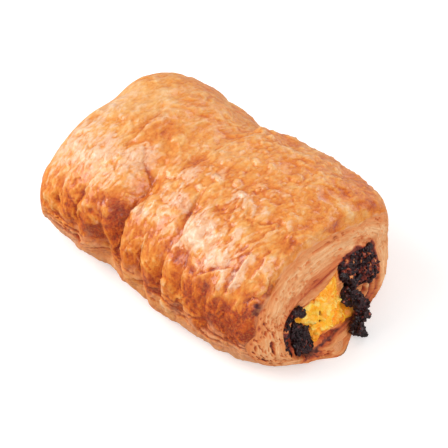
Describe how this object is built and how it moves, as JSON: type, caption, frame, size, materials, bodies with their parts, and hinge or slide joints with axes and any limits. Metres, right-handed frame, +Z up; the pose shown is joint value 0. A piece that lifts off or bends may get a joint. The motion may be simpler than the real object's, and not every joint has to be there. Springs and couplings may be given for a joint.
{
  "type": "chocolate cream roll",
  "caption": "Baked roll of flaky pastry with a flat base and a shallow waist, two strands of dark chocolate and a cream core showing at its ends, and a chunk of chocolate spilling over one lip.",
  "frame": {"origin": "under the middle of the roll, on the surface it lies on", "axes": "+X along the roll, towards the end where the chocolate chunk has burst out; +Y across it; +Z up, away from the flat base"},
  "size_m": [0.1208, 0.0754, 0.048],
  "materials": {
    "pastry": "baked laminated dough: golden brown glazed crust with paler layered crumb at the ends",
    "cream": "set custard cream, moist, grainy and yellow with orange edges",
    "chocolate": "baked dark chocolate, rough, cracked and nearly black"
  },
  "bodies": {
    "root": {"pastry": "pastry", "cream": "cream", "chocolate_left": "chocolate", "chocolate_right": "chocolate"}
  },
  "joints": []
}
